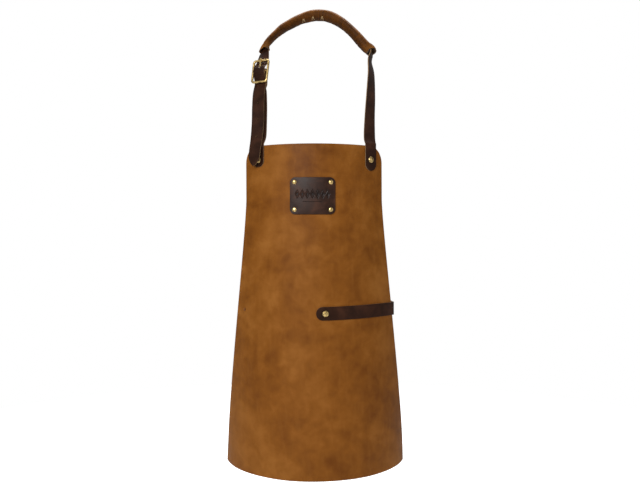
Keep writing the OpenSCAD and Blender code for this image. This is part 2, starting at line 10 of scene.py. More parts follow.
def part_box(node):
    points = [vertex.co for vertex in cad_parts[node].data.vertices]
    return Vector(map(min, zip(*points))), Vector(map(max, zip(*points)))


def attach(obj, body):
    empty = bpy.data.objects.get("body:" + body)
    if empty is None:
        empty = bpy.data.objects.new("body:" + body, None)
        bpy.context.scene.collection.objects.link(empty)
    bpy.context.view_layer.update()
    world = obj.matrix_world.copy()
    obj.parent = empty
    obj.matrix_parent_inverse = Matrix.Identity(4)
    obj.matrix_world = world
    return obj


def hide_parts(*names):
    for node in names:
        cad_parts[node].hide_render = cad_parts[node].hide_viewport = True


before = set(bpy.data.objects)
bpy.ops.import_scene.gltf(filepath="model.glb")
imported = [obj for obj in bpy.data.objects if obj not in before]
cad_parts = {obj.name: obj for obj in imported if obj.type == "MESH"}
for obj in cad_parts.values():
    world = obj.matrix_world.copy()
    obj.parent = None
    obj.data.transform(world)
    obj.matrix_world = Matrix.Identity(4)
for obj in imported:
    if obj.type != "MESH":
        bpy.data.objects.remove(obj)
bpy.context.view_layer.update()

bl_info = {
    "name": "Leather bib apron",
    "version": (1, 0, 0),
    "blender": (4, 5, 0),
    "location": "3D View > Sidebar > Apron",
    "description": "Leather bib apron with a padded neck strap, a pressed label and brass hardware",
    "category": "Object",
}

MM = 0.001
PANEL_LOW, PANEL_HIGH = (Vector(corner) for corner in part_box("apron_panel"))

# The panel hangs on a circle about an upright axis behind the hang point.
AXIS_Y = 47 * MM
PANEL_R = AXIS_Y - PANEL_LOW.y
PANEL_T = 2 * MM
LAYER_GAP = 0.15 * MM
STRAP_W = 32 * MM
STRAP_T = 2.5 * MM
OUTER_R = PANEL_R + LAYER_GAP + STRAP_T / 2
INNER_R = PANEL_R - PANEL_T - LAYER_GAP - STRAP_T / 2
HEM_Z = PANEL_LOW.z
TOP_Z = PANEL_HIGH.z

# Outline of the flat panel
HEM_HALF = 307 * MM
CHEST_HALF = 184.5 * MM
SPREAD_H = 670 * MM
CORNER_R = 40 * MM
# Angles that the panel is turned about its axis at the hem and at the top edge
HEM_TURN = 0.5
TOP_TURN = -0.8

# Places of the rivets, as angles about the axis and heights
NECK_ANGLE = 34.2
NECK_RIVET_Z = TOP_Z - 34 * MM
RIGHT_INSET = 26.5 * MM
LEFT_INSET = 18 * MM
LABEL_X = -2 * MM
LABEL_Z = TOP_Z - 124 * MM
LABEL_W = 108 * MM
LABEL_H = 88 * MM
LABEL_CORNER = 13 * MM
LABEL_RIVET_X = 43 * MM
LABEL_RIVET_Z = 32.5 * MM
WAIST_Z = HEM_Z + 397 * MM
WAIST_RISE = 4 * MM
WAIST_RIVET_A = 6.2

# Frames of the two buckles
NECK_BUCKLE = Vector((-138.6, -73, -153.5)) * MM
NECK_TURN = math.radians(25)
NECK_LEAN = math.radians(12)
WAIST_BUCKLE = Vector((0, 74 * MM, WAIST_Z + WAIST_RISE))
FOLD_R = 4.55
WAVE_HALF = 33
WAVE_MID = -0.4
WAVE_DEPTH = 7.6
FOLD_ROUTE = [
    (10.9, -47), (10.9, -40), (10.9, -34), (9.9, -28), (7.6, -22), (3.9, -16), (-0.3, -10.2), (-3.4, -5.2),
    (-FOLD_R, 0), (-FOLD_R * 0.7, FOLD_R * 0.7), (0, FOLD_R), (FOLD_R * 0.7, FOLD_R * 0.7), (FOLD_R, 0),
    (5.8, -5), (8.1, -10), (10.7, -16), (12.6, -22), (13.6, -28), (14, -35), (13.9, -47),
]

# Routes in millimetres: x, y, z and the turn of the strap's width about Z
NECK_STEPS = 10
RIGHT_RISE = [
    (133.5, -143, -333, 32), (136, -119, -278, 41), (140.5, -93, -218, 48), (143.5, -68, -158, 60),
    (142.5, -46, -119, 72),
]
PAD_ROUTE = [
    (146.5, -34, -93, 80), (132, -34, -80, 88), (117, -30, -62, 90), (92, -20, -32, 90), (66, -10, -7.5, 90),
    (37, -3, 8.5, 90), (3, 0, 13.5, 90), (-32, 0, 5.5, 90), (-63, -5, -11, 90), (-92, -14, -31.5, 90),
    (-117, -28, -60.5, 92), (-126.2, -32, -73.6, 102), (-131.5, -32, -89, 122),
]
LEFT_DROP = [(-131.5, -45, -102, 135)]
TAIL_ROUTE = [
    (-141.5, -84, -212, 158), (-141.5, -102, -250, 160), (-140, -126, -295, 160), (-141, -148, -335, 156),
    (-144.5, -158, -367, 152), (-147.5, -160, -404, 150),
]
FOLD_RISE = [
    (-132, -142, -333, 150), (-132.5, -119, -295, 152), (-134, -95, -250, 154), (-136.5, -76.5, -212, 155),
]
HOLE_PITCH = 52 * MM
HOLE_COUNT = 3
FIRST_HOLE = 75 * MM
POINT_L = 20 * MM
POINT_POWER = 0.55

# Section of the neck pad, and the share of its thickness from its right end, at 0, to its left, at 1
PAD_T = 27 * MM
PAD_W = 40 * MM
PAD_GIRTH = 72
PAD_POWER = 2.4
PAD_HALF_GIRTH = 57 * MM
PAD_PROFILE = [
    (0, 1), (0.12, 0.94), (0.22, 0.84), (0.32, 0.91), (0.42, 1), (0.55, 0.97), (0.66, 0.85), (0.76, 0.77),
    (0.86, 0.57), (0.93, 0.62), (1, 0.78),
]

# Plan of the waist strap: where each half leaves the panel, its bends and its line behind the wearer
BELT_OFF_RIGHT = 53.8
BELT_OFF_LEFT = 50
BELT_SIDE_R = 16 * MM
BELT_SIDE_TURN = 95
BELT_BACK_R = 90 * MM
BELT_BACK_RIGHT = 71 * MM
BELT_BACK_LEFT = WAIST_BUCKLE.y - 10.9 * MM


# --- Settings -------------------------------------------------------------------------------------

class ApronSizes(bpy.types.PropertyGroup):
    """Sizes that a maker would change"""
    edge_round: FloatProperty(
        name="Edge rounding", description="Radius rubbed onto each cut edge of the leather",
        default=0.45 * MM, min=0.0, subtype="DISTANCE", unit="LENGTH")
    hem_wave: FloatProperty(
        name="Hem wave", description="How far the free hem moves in and out of its circle",
        default=1.6 * MM, min=0.0, subtype="DISTANCE", unit="LENGTH")
    label_bulge: FloatProperty(
        name="Label bulge", description="How far the label stands proud between its rivets",
        default=1.3 * MM, min=0.0, subtype="DISTANCE", unit="LENGTH")
    press_depth: FloatProperty(
        name="Pressing depth", description="Depth of the pressed pattern on the label",
        default=0.8 * MM, min=0.0, subtype="DISTANCE", unit="LENGTH")
    wrinkle: FloatProperty(
        name="Pad wrinkles", description="Depth of the creases under the neck pad",
        default=0.8 * MM, min=0.0, subtype="DISTANCE", unit="LENGTH")
    thread: FloatProperty(
        name="Thread", description="Diameter of the lacing thread",
        default=1.5 * MM, min=0.0, subtype="DISTANCE", unit="LENGTH")
    lozenges: IntProperty(
        name="Lozenges", description="Number of pressed lozenges on the label", default=7, min=1, max=9)


class ApronColours(bpy.types.PropertyGroup):
    """Colours of the leather, thread and metal"""
    tan: FloatVectorProperty(
        name="Tan leather", description="Middle tone of the panel", subtype="COLOR",
        default=(0.212, 0.07, 0.0065), min=0.0, max=1.0)
    # Light tan is also painted along the top of the neck pad as painted light from above.
    tan_light: FloatVectorProperty(
        name="Light tan", description="Tone where the oil is pulled thin", subtype="COLOR",
        default=(0.29, 0.108, 0.017), min=0.0, max=1.0)
    tan_dark: FloatVectorProperty(
        name="Dark tan", description="Tone where the oil gathers", subtype="COLOR",
        default=(0.135, 0.039, 0.002), min=0.0, max=1.0)
    flesh: FloatVectorProperty(
        name="Flesh side", description="Suede side of the panel", subtype="COLOR",
        default=(0.3, 0.15, 0.058), min=0.0, max=1.0)
    dark: FloatVectorProperty(
        name="Dark leather", description="Grain side of the straps", subtype="COLOR",
        default=(0.028, 0.0098, 0.0045), min=0.0, max=1.0)
    raw: FloatVectorProperty(
        name="Raw edge", description="Cut edge of the dark leather", subtype="COLOR",
        default=(0.3, 0.18, 0.085), min=0.0, max=1.0)
    brass: FloatVectorProperty(
        name="Brass", description="Clean brass", subtype="COLOR",
        default=(0.78, 0.56, 0.23), min=0.0, max=1.0)
    patina: FloatVectorProperty(
        name="Patina", description="Brass where it has darkened", subtype="COLOR",
        default=(0.2, 0.125, 0.04), min=0.0, max=1.0)
    pad: FloatVectorProperty(
        name="Pad leather", description="Middle tone of the pad's front and underside", subtype="COLOR",
        default=(0.082, 0.026, 0.002), min=0.0, max=1.0)
    thread: FloatVectorProperty(
        name="Thread", description="Waxed thread under the pad", subtype="COLOR",
        default=(0.62, 0.42, 0.2), min=0.0, max=1.0)
    floor: FloatVectorProperty(
        name="Floor", description="Studio floor", subtype="COLOR",
        default=(0.9, 0.9, 0.9), min=0.0, max=1.0)


# --- Lines that leather is laid along -------------------------------------------------------------

def smooth(rows, steps):
    """A smooth curve through rows of numbers."""
    rows = [Vector(row) for row in rows]
    last = len(rows) - 1
    curve = []
    for i in range(last):
        a, b, c, d = rows[max(i - 1, 0)], rows[i], rows[i + 1], rows[min(i + 2, last)]
        for k in range(steps):
            t = k / steps
            curve.append(0.5 * (
                2 * b + (c - a) * t + (2 * a - 5 * b + 4 * c - d) * t * t + (3 * b - a - 3 * c + d) * t ** 3))
    return curve + [rows[last]]


def level_rows(rows):
    """Rows of x, y, z in millimetres and a turn in degrees, as places and width directions."""
    placed = []
    for x, y, z, turn in rows:
        turn = math.radians(turn)
        placed.append((Vector((x, y, z)) * MM, Vector((math.cos(turn), math.sin(turn), 0))))
    return placed


def around(angle, radius, z):
    """A place at an angle in degrees about the panel's axis, 0 at the front."""
    angle = math.radians(angle)
    return Vector((radius * math.sin(angle), AXIS_Y - radius * math.cos(angle), z))


def neck_place(y, z):
    """A place in the neck buckle's frame, in millimetres, as one in the apron's."""
    back = y * math.cos(NECK_LEAN) + z * math.sin(NECK_LEAN)
    up = -y * math.sin(NECK_LEAN) + z * math.cos(NECK_LEAN)
    return NECK_BUCKLE / MM + Vector((back * math.sin(NECK_TURN), back * math.cos(NECK_TURN), up))


def waist_place(y, z):
    """A place in the waist buckle's frame, in millimetres, as one in the apron's."""
    return WAIST_BUCKLE / MM + Vector((z, -y, 0))


def wave_at(z):
    """How far back a strap lies at a height in a buckle's frame, in millimetres."""
    return WAVE_MID - WAVE_DEPTH * math.cos(math.pi * z / WAVE_HALF)


def wave(steps):
    """The line of a strap through a buckle: behind both end bars and over the centre bar."""
    heights = [WAVE_HALF - 2 * WAVE_HALF * i / steps for i in range(steps + 1)]
    return [(wave_at(z), z) for z in heights]


class Lay:
    """The line that a piece of leather lies along, with the direction of its width at every place."""

    def __init__(self, rows):
        self.places = [place for place, _ in rows]
        self.sides = [side for _, side in rows]
        self.run = [0.0]
        for a, b in zip(self.places, self.places[1:]):
            self.run.append(self.run[-1] + (b - a).length)
        self.length = self.run[-1]

    def between(self, values, s):
        s = min(max(s, 0.0), self.length)
        i = min(max(bisect.bisect_right(self.run, s), 1), len(self.run) - 1)
        t = (s - self.run[i - 1]) / (self.run[i] - self.run[i - 1])
        return values[i - 1].lerp(values[i], t)

    def at(self, s):
        """The place at a distance, and the directions along, across and outward there."""
        step = 1.5 * MM
        along = (self.between(self.places, s + step) - self.between(self.places, s - step)).normalized()
        outward = self.between(self.sides, s).cross(along).normalized()
        return self.between(self.places, s), along, outward.cross(along), outward

    def nearest(self, place):
        """The distance along the line to the place nearest to another."""
        count = 2000
        steps = [self.length * i / count for i in range(count + 1)]
        return min(steps, key=lambda s: (self.between(self.places, s) - place).length)


def foot_rows(angle, turn, inset):
    """Rows up the panel from a strap's round end to just above the top edge."""
    heights = (NECK_RIVET_Z - inset, NECK_RIVET_Z, TOP_Z, TOP_Z + 4 * MM)
    return [(*(around(angle, OUTER_R, z) / MM), turn) for z in heights]


def neck_lay():
    turn = 180 - math.degrees(NECK_TURN)
    foot = foot_rows(NECK_ANGLE, NECK_ANGLE, RIGHT_INSET)
    through = [(*neck_place(y, z), turn) for y, z in wave(8)]
    rows = smooth([foot[-1], *RIGHT_RISE, *PAD_ROUTE, *LEFT_DROP, *through, *TAIL_ROUTE], NECK_STEPS)
    return Lay(level_rows(foot[:-1] + rows))


def pad_lay():
    """The part of the neck strap's line that the pad covers."""
    lay = neck_lay()
    first = 3 + NECK_STEPS * (1 + len(RIGHT_RISE))
    last = first + NECK_STEPS * (len(PAD_ROUTE) - 1)
    return Lay(list(zip(lay.places, lay.sides))[first:last + 1])


def neck_fold_lay():
    turn = 180 - math.degrees(NECK_TURN)
    foot = foot_rows(-NECK_ANGLE, 180 - NECK_ANGLE, LEFT_INSET)
    fold = [(*neck_place(y, z), turn) for y, z in FOLD_ROUTE]
    rows = level_rows(foot[:-1] + smooth([foot[-1], *FOLD_RISE, *fold], 8))
    return Lay([(place, -side) for place, side in rows])


def arc(centre, radius, start, stop, steps):
    """Places on a plan arc between two angles in degrees, 0 towards the front."""
    places = []
    for i in range(steps + 1):
        angle = math.radians(start + (stop - start) * i / steps)
        places.append(centre + radius * Vector((math.sin(angle), -math.cos(angle))))
    return places


def belt_plan(radius, start, off, back_line):
    """Half of the waist strap's plan, from an angle on the panel round to the middle of the back."""
    axis = Vector((0, AXIS_Y))
    off_a = math.radians(off)
    side_a = math.radians(BELT_SIDE_TURN)
    side_dir = Vector((math.cos(side_a), math.sin(side_a)))
    side_out = Vector((math.sin(side_a), -math.cos(side_a)))
    bend = axis + (radius - BELT_SIDE_R) * Vector((math.sin(off_a), -math.cos(off_a)))
    turned = bend + BELT_SIDE_R * side_out
    back_y = back_line - BELT_BACK_R
    side_l = (back_y + BELT_BACK_R * side_out.y - turned.y) / side_dir.y
    back = turned + side_l * side_dir - BELT_BACK_R * side_out
    return (
        arc(axis, radius, start, off, 36)
        + arc(bend, BELT_SIDE_R, off + 3, BELT_SIDE_TURN, 14)
        + arc(back, BELT_BACK_R, BELT_SIDE_TURN, 180, 30)
    )


def belt_height(x, y):
    """Height of the waist strap, which climbs from its front end to the panel's edge."""
    t = 1.0 if y > -60 * MM else min(max(x / (190 * MM), 0.0), 1.0)
    return WAIST_Z + WAIST_RISE * t * t * (3 - 2 * t)


def waist_right_lay():
    down = Vector((0, 0, -1))
    back = WAIST_BUCKLE / MM
    rows = [Vector((p.x, p.y, belt_height(p.x, p.y))) for p in belt_plan(OUTER_R, 0.9, BELT_OFF_RIGHT, BELT_BACK_RIGHT)]
    through = [Vector((60, back.y - 4.5, back.z))] + [waist_place(y, z) for y, z in wave(48)]
    tail = [Vector((x, back.y - 5, back.z)) for x in (-45, -60, -80, -90)]
    return Lay([(p, down) for p in rows] + [(p * MM, down) for p in through + tail])


def waist_left_lay():
    up = Vector((0, 0, 1))
    plan = belt_plan(INNER_R, 41, BELT_OFF_LEFT, BELT_BACK_LEFT)
    rows = [Vector((-p.x, p.y, WAIST_BUCKLE.z)) for p in plan]
    fold = smooth([waist_place(y, z) for y, z in FOLD_ROUTE], 8)
    return Lay([(p, up) for p in rows] + [(p * MM, up) for p in fold])


# --- Materials ------------------------------------------------------------------------------------

class Finish:
    """A material under construction, with short ways to add and join its nodes."""

    def __init__(self, name, source):
        self.material = bpy.data.materials.new(name)
        self.material.use_nodes = True
        self.tree = self.material.node_tree
        self.shader = self.tree.nodes["Principled BSDF"]
        self.coords = self.tree.nodes.new("ShaderNodeTexCoord").outputs[source]

    def node(self, kind, inputs=(), **settings):
        made = self.tree.nodes.new(kind)
        for name, value in settings.items():
            setattr(made, name, value)
        for name, value in dict(inputs).items():
            if isinstance(value, bpy.types.NodeSocket):
                self.tree.links.new(value, made.inputs[name])
            else:
                made.inputs[name].default_value = value
        return made

    def stretched(self, scale):
        return self.node("ShaderNodeMapping", {"Vector": self.coords, "Scale": scale}).outputs["Vector"]

    def clouds(self, scale, detail=4.0, distortion=0.0, vector=None, roughness=0.55):
        made = self.node("ShaderNodeTexNoise", {
            "Vector": vector or self.coords, "Scale": scale, "Detail": detail,
            "Roughness": roughness, "Distortion": distortion})
        return made.outputs["Fac"]

    def cells(self, scale, feature="F1", vector=None):
        made = self.node("ShaderNodeTexVoronoi", {"Vector": vector or self.coords, "Scale": scale}, feature=feature)
        return made.outputs["Distance"]

    def ramp(self, value, stops):
        made = self.node("ShaderNodeValToRGB", {"Fac": value})
        elements = made.color_ramp.elements
        while len(elements) < len(stops):
            elements.new(0.5)
        for element, (place, colour) in zip(elements, stops):
            element.position = place
            element.color = (*colour, 1.0) if len(tuple(colour)) == 3 else colour
        return made.outputs["Color"]

    def graded(self, value, low, high, to_low, to_high):
        made = self.node("ShaderNodeMapRange", {
            "Value": value, "From Min": low, "From Max": high, "To Min": to_low, "To Max": to_high})
        return made.outputs["Result"]

    def maths(self, operation, a, b):
        made = self.tree.nodes.new("ShaderNodeMath")
        made.operation = operation
        for socket, value in zip(made.inputs, (a, b)):
            if isinstance(value, bpy.types.NodeSocket):
                self.tree.links.new(value, socket)
            else:
                socket.default_value = value
        return made.outputs[0]

    def mixed(self, factor, a, b, blend="MIX"):
        made = self.tree.nodes.new("ShaderNodeMix")
        made.data_type = "RGBA"
        made.blend_type = blend
        for name, value in (("Factor_Float", factor), ("A_Color", a), ("B_Color", b)):
            socket = next(s for s in made.inputs if s.identifier == name)
            if isinstance(value, bpy.types.NodeSocket):
                self.tree.links.new(value, socket)
            elif name == "Factor_Float":
                socket.default_value = value
            else:
                socket.default_value = (*value, 1.0)
        return next(s for s in made.outputs if s.identifier == "Result_Color")

    def bump(self, height, distance, strength=1.0, under=None):
        inputs = {"Height": height, "Distance": distance, "Strength": strength}
        if under is not None:
            inputs["Normal"] = under
        return self.node("ShaderNodeBump", inputs).outputs["Normal"]

    def set(self, **values):
        names = {"color": "Base Color", "sheen": "Sheen Weight", "coat": "Coat Weight",
                 "coat_roughness": "Coat Roughness", "specular": "Specular IOR Level"}
        for name, value in values.items():
            socket = self.shader.inputs[names.get(name, name.capitalize())]
            if isinstance(value, bpy.types.NodeSocket):
                self.tree.links.new(value, socket)
            elif name == "color":
                socket.default_value = (*value, 1.0)
            else:
                socket.default_value = value
        return self.material


def tan_grain(name, colours, cloud, source="UV"):
    """Oiled tan leather: cloudy tones, small scars, a pebbled grain and faint creases."""
    f = Finish(name, source)
    broad = f.clouds(cloud, 3.0, 0.6)
    middle = f.clouds(cloud * 4.5, 4.0, 0.3)
    tone = f.maths("ADD", f.maths("MULTIPLY", broad, 0.68), f.maths("MULTIPLY", middle, 0.32))
    base = f.ramp(tone, [(0.34, colours.tan_dark), (0.5, colours.tan), (0.66, colours.tan_light)])
    streaks = f.clouds(1.0, 5.0, 0.2, f.stretched((60, 14, 30)))
    worn = f.mixed(f.graded(streaks, 0.5, 0.8, 0.0, 0.35), base, colours.tan_light)
    scars = f.graded(f.cells(38.0, "DISTANCE_TO_EDGE", f.stretched((1.0, 1.6, 1.0))), 0.0, 0.012, 1.0, 0.0)
    scars = f.maths("MULTIPLY", scars, f.graded(f.clouds(11.0), 0.56, 0.68, 0.0, 0.5))
    marked = f.mixed(scars, worn, colours.tan_dark)
    pebbles = f.cells(850.0)
    pores = f.clouds(420.0, 3.0)
    grain = f.bump(f.maths("ADD", f.maths("MULTIPLY", pebbles, 0.6), pores), 0.12 * MM, 0.7)
    folds = f.bump(f.maths("ADD", middle, f.maths("MULTIPLY", scars, -0.3)), 1.2 * MM, 0.6, grain)
    shine = f.graded(f.maths("ADD", broad, f.maths("MULTIPLY", pores, 0.35)), 0.4, 0.95, 0.44, 0.66)
    f.tree.links.new(folds, f.shader.inputs["Normal"])
    return f.set(color=marked, roughness=shine, specular=0.12)


def pad_grain(name, colours, half_l):
    """Soft dark tan leather with painted light along the top, where light from above falls, rubbed lighter at both ends
    and in streaks across it.
    """
    f = Finish(name, "UV")
    place = f.node("ShaderNodeSeparateXYZ", {"Vector": f.coords}).outputs
    cloud = f.clouds(26.0, 4.0, 0.6)
    streaks = f.clouds(1.0, 5.0, 0.3, f.stretched((260, 24, 1)))
    deep = [channel * 0.45 for channel in colours.pad]
    base = f.ramp(f.maths("ADD", f.maths("MULTIPLY", cloud, 0.5), f.maths("MULTIPLY", streaks, 0.5)),
                  [(0.36, deep), (0.52, colours.pad), (0.68, colours.tan_dark)])
    uneven = f.maths("MULTIPLY", f.maths("SUBTRACT", cloud, 0.5), 30 * MM)
    from_under = f.maths("ABSOLUTE", f.maths("SUBTRACT", place["Y"], PAD_HALF_GIRTH), 0.0)
    from_middle = f.maths("ABSOLUTE", f.maths("SUBTRACT", place["X"], half_l), 0.0)
    # Painted light: the top of the pad's girth turns light tan, as if lit from above.
    top = f.graded(f.maths("ADD", from_under, uneven), PAD_HALF_GIRTH * 0.56, PAD_HALF_GIRTH * 0.86, 0.0, 0.95)
    ends = f.graded(f.maths("ADD", from_middle, uneven), half_l - 24 * MM, half_l, 0.0, 0.8)
    # This mix lays the painted light on the pad's top together with the rubbed lighter ends.
    worn = f.mixed(f.maths("MAXIMUM", top, ends), base, colours.tan_light)
    grain = f.bump(f.cells(700.0), 0.12 * MM, 0.7)
    f.tree.links.new(f.bump(streaks, 0.9 * MM, 0.7, grain), f.shader.inputs["Normal"])
    return f.set(color=worn, roughness=f.graded(cloud, 0.35, 0.7, 0.5, 0.68), specular=0.1)


def suede(name, colour, source="UV"):
    """Flesh side of leather: napped fibres in soft patches."""
    f = Finish(name, source)
    nap = f.clouds(240.0, 6.0, 0.4)
    patches = f.clouds(16.0, 4.0, 0.8)
    dark = [channel * 0.62 for channel in colour]
    light = [min(channel * 1.25, 1.0) for channel in colour]
    tone = f.maths("ADD", f.maths("MULTIPLY", nap, 0.45), f.maths("MULTIPLY", patches, 0.55))
    f.tree.links.new(f.bump(nap, 0.5 * MM, 0.8), f.shader.inputs["Normal"])
    return f.set(color=f.ramp(tone, [(0.34, dark), (0.52, colour), (0.7, light)]), roughness=0.95, sheen=0.25,
                 specular=0.2)


def cut_edge(name, colour, shade, source="Object"):
    """Cut edge of leather, with its fibres in thin layers."""
    f = Finish(name, source)
    layers = f.clouds(1.0, 3.0, 0.2, f.stretched((900, 900, 900)))
    wear = f.clouds(60.0, 3.0)
    tone = f.maths("ADD", f.maths("MULTIPLY", layers, 0.5), f.maths("MULTIPLY", wear, 0.5))
    f.tree.links.new(f.bump(layers, 0.15 * MM, 0.5), f.shader.inputs["Normal"])
    return f.set(color=f.ramp(tone, [(0.36, shade), (0.6, colour)]), roughness=0.72, specular=0.3)


def dark_grain(name, colours, pressed=False):
    """Dark bridle leather: fine grain, soft wax bloom, light scuffs; pressed places are nearly black."""
    f = Finish(name, "UV")
    bloom = f.clouds(26.0, 4.0, 0.5)
    fine = f.clouds(700.0, 3.0)
    light = [channel * (2.3 if pressed else 1.75) for channel in colours.dark]
    deep = [channel * 0.62 for channel in colours.dark]
    base = f.ramp(bloom, [(0.32, deep), (0.5, colours.dark), (0.72, light)])
    scuff_lines = f.clouds(1.0, 6.0, 0.1, f.stretched((40, 420, 40)))
    scuffs = f.maths("MULTIPLY", f.graded(scuff_lines, 0.66, 0.74, 0.0, 1.0), f.graded(bloom, 0.5, 0.65, 0.0, 0.3))
    colour = f.mixed(scuffs, base, [channel * 0.5 for channel in colours.raw])
    pebbles = f.cells(1100.0)
    normal = f.bump(f.maths("ADD", f.maths("MULTIPLY", pebbles, 0.5), fine), 0.08 * MM, 0.6)
    normal = f.bump(bloom, 0.6 * MM, 0.4, normal)
    f.tree.links.new(normal, f.shader.inputs["Normal"])
    if pressed:
        sunk = f.node("ShaderNodeAttribute", attribute_name="pressed").outputs["Fac"]
        colour = f.mixed(f.maths("MULTIPLY", sunk, 0.9), colour, [channel * 0.15 for channel in colours.dark])
    shine = f.graded(f.maths("ADD", bloom, f.maths("MULTIPLY", fine, 0.3)), 0.4, 0.95, 0.34, 0.52)
    return f.set(color=colour, roughness=shine, specular=0.22 if pressed else 0.12)


def old_brass(name, colours):
    """Brass in lighter and darker clouds, with darker cloudy patina and fine scratches."""
    f = Finish(name, "Object")
    cloud = f.clouds(160.0, 5.0, 0.6)
    scratches = f.clouds(1.0, 4.0, 0.0, f.stretched((2600, 260, 900)))
    tone = f.maths("ADD", f.maths("MULTIPLY", cloud, 0.8), f.maths("MULTIPLY", scratches, 0.2))
    colour = f.ramp(tone, [(0.36, colours.patina), (0.5, colours.brass),
                           (0.75, [min(c * 1.15, 1.0) for c in colours.brass])])
    f.tree.links.new(f.bump(scratches, 0.03 * MM, 0.5, f.bump(cloud, 0.15 * MM, 0.4)), f.shader.inputs["Normal"])
    return f.set(color=colour, metallic=1.0, roughness=f.graded(tone, 0.35, 0.7, 0.42, 0.24))


def waxed_thread(name, colours):
    f = Finish(name, "Object")
    ply = f.clouds(1.0, 2.0, 0.0, f.stretched((1500, 1500, 1500)))
    f.tree.links.new(f.bump(ply, 0.2 * MM, 0.8), f.shader.inputs["Normal"])
    shade = [channel * 0.6 for channel in colours.thread]
    return f.set(color=f.ramp(ply, [(0.35, shade), (0.6, colours.thread)]), roughness=0.6)


def closed_foam(name):
    f = Finish(name, "Object")
    bubbles = f.cells(900.0)
    f.tree.links.new(f.bump(bubbles, 0.3 * MM, 0.8), f.shader.inputs["Normal"])
    return f.set(color=f.ramp(bubbles, [(0.0, (0.03, 0.028, 0.026)), (0.7, (0.09, 0.085, 0.08))]), roughness=0.95)


def tan_enamel(name, colours):
    f = Finish(name, "Object")
    wear = f.clouds(300.0, 4.0)
    f.tree.links.new(f.bump(wear, 0.05 * MM, 0.5), f.shader.inputs["Normal"])
    return f.set(color=f.ramp(wear, [(0.35, colours.tan_dark), (0.65, colours.tan)]), roughness=0.5)


def finish(name, maker, *args):
    """A material by name, made the first time that it is asked for."""
    return bpy.data.materials.get(name) or maker(name, *args)


def leather_set(colours, pressed=False):
    """Materials of a dark strap or label: grain, flesh side and cut edge."""
    flesh = finish("strap_flesh", suede, [channel * 3.0 for channel in colours.dark])
    if pressed:
        waxed = [channel * 1.6 for channel in colours.dark]
        return [finish("label_grain", dark_grain, colours, True), flesh,
                finish("label_edge", cut_edge, waxed, colours.dark)]
    shade = [channel * 0.35 for channel in colours.raw]
    return [finish("strap_grain", dark_grain, colours), flesh, finish("strap_edge", cut_edge, colours.raw, shade)]


# --- Making pieces --------------------------------------------------------------------------------

def link(obj):
    bpy.context.scene.collection.objects.link(obj)
    return obj


def baked(obj):
    """The mesh that an object's modifiers give; the object itself is removed."""
    graph = bpy.context.evaluated_depsgraph_get()
    mesh = bpy.data.meshes.new_from_object(obj.evaluated_get(graph))
    bpy.data.objects.remove(obj, do_unlink=True)
    return mesh


def piece(name, mesh, materials, nodes, body="apron", sharp=40):
    """A finished piece of the apron from a mesh that is already in its place."""
    mesh.name = name
    sides = [face.material_index for face in mesh.polygons]
    mesh.materials.clear()
    for material in materials:
        mesh.materials.append(material)
    mesh.polygons.foreach_set("material_index", sides)
    mesh.polygons.foreach_set("use_smooth", [True] * len(mesh.polygons))
    mesh.set_sharp_from_angle(angle=math.radians(sharp))
    obj = link(bpy.data.objects.new(name, mesh))
    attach(obj, body)
    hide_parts(*nodes)
    return obj


def grid(columns, rows):
    """A flat grid over the unit square."""
    bm = bmesh.new()
    bmesh.ops.create_grid(bm, x_segments=columns, y_segments=rows, size=0.5)
    bmesh.ops.translate(bm, verts=bm.verts, vec=(0.5, 0.5, 0))
    return bm


def flat_object(name, bm, thickness, edge_round, middle=0.0):
    """A flat blank with its thickness and rubbed edges, ready for punching."""
    bmesh.ops.recalc_face_normals(bm, faces=bm.faces)
    if sum(face.normal.z for face in bm.faces) < 0:
        bmesh.ops.reverse_faces(bm, faces=bm.faces)
    mesh = bpy.data.meshes.new(name)
    bm.to_mesh(mesh)
    bm.free()
    obj = link(bpy.data.objects.new(name, mesh))
    solid = obj.modifiers.new("thickness", "SOLIDIFY")
    solid.thickness = thickness
    solid.offset = middle
    bevel = obj.modifiers.new("edges", "BEVEL")
    bevel.width = edge_round
    bevel.segments = 3
    bevel.limit_method = "ANGLE"
    bevel.angle_limit = math.radians(50)
    return obj


def sort_faces(mesh):
    """Gives each face of a flat blank its side: 0 grain, 1 flesh, 2 cut edge; and lays its UV map."""
    for face in mesh.polygons:
        face.material_index = 0 if face.normal.z > 0.3 else 1 if face.normal.z < -0.3 else 2
    flat = mesh.uv_layers.new(name="flat")
    for loop in mesh.loops:
        co = mesh.vertices[loop.vertex_index].co
        flat.data[loop.index].uv = (co.x, co.y + co.z)


def bent(mesh, place):
    """Moves every vertex of a flat blank to where the leather bends it."""
    for vertex in mesh.vertices:
        vertex.co = place(vertex.co)
    mesh.update()
    return mesh


def punch(shapes):
    """Joins punch shapes, each a place and a length along the strap, into one cutter."""
    bm = bmesh.new()
    for x, y, radius, length in shapes:
        made = bmesh.ops.create_cone(
            bm, cap_ends=True, segments=32, radius1=radius, radius2=radius, depth=20 * MM)
        for vertex in made["verts"]:
            vertex.co.x += math.copysign(max(length / 2 - radius, 0.0), vertex.co.x)
        bmesh.ops.translate(bm, verts=made["verts"], vec=(x, y, 0))
    mesh = bpy.data.meshes.new("punch")
    bm.to_mesh(mesh)
    bm.free()
    return link(bpy.data.objects.new("punch", mesh))


def end_half(e, pointed):
    """Half width of a strap at a distance from its end."""
    half = STRAP_W / 2
    if pointed:
        return half * min(e / POINT_L, 1.0) ** POINT_POWER
    return math.sqrt(max(half * half - max(half - e, 0.0) ** 2, 0.0))


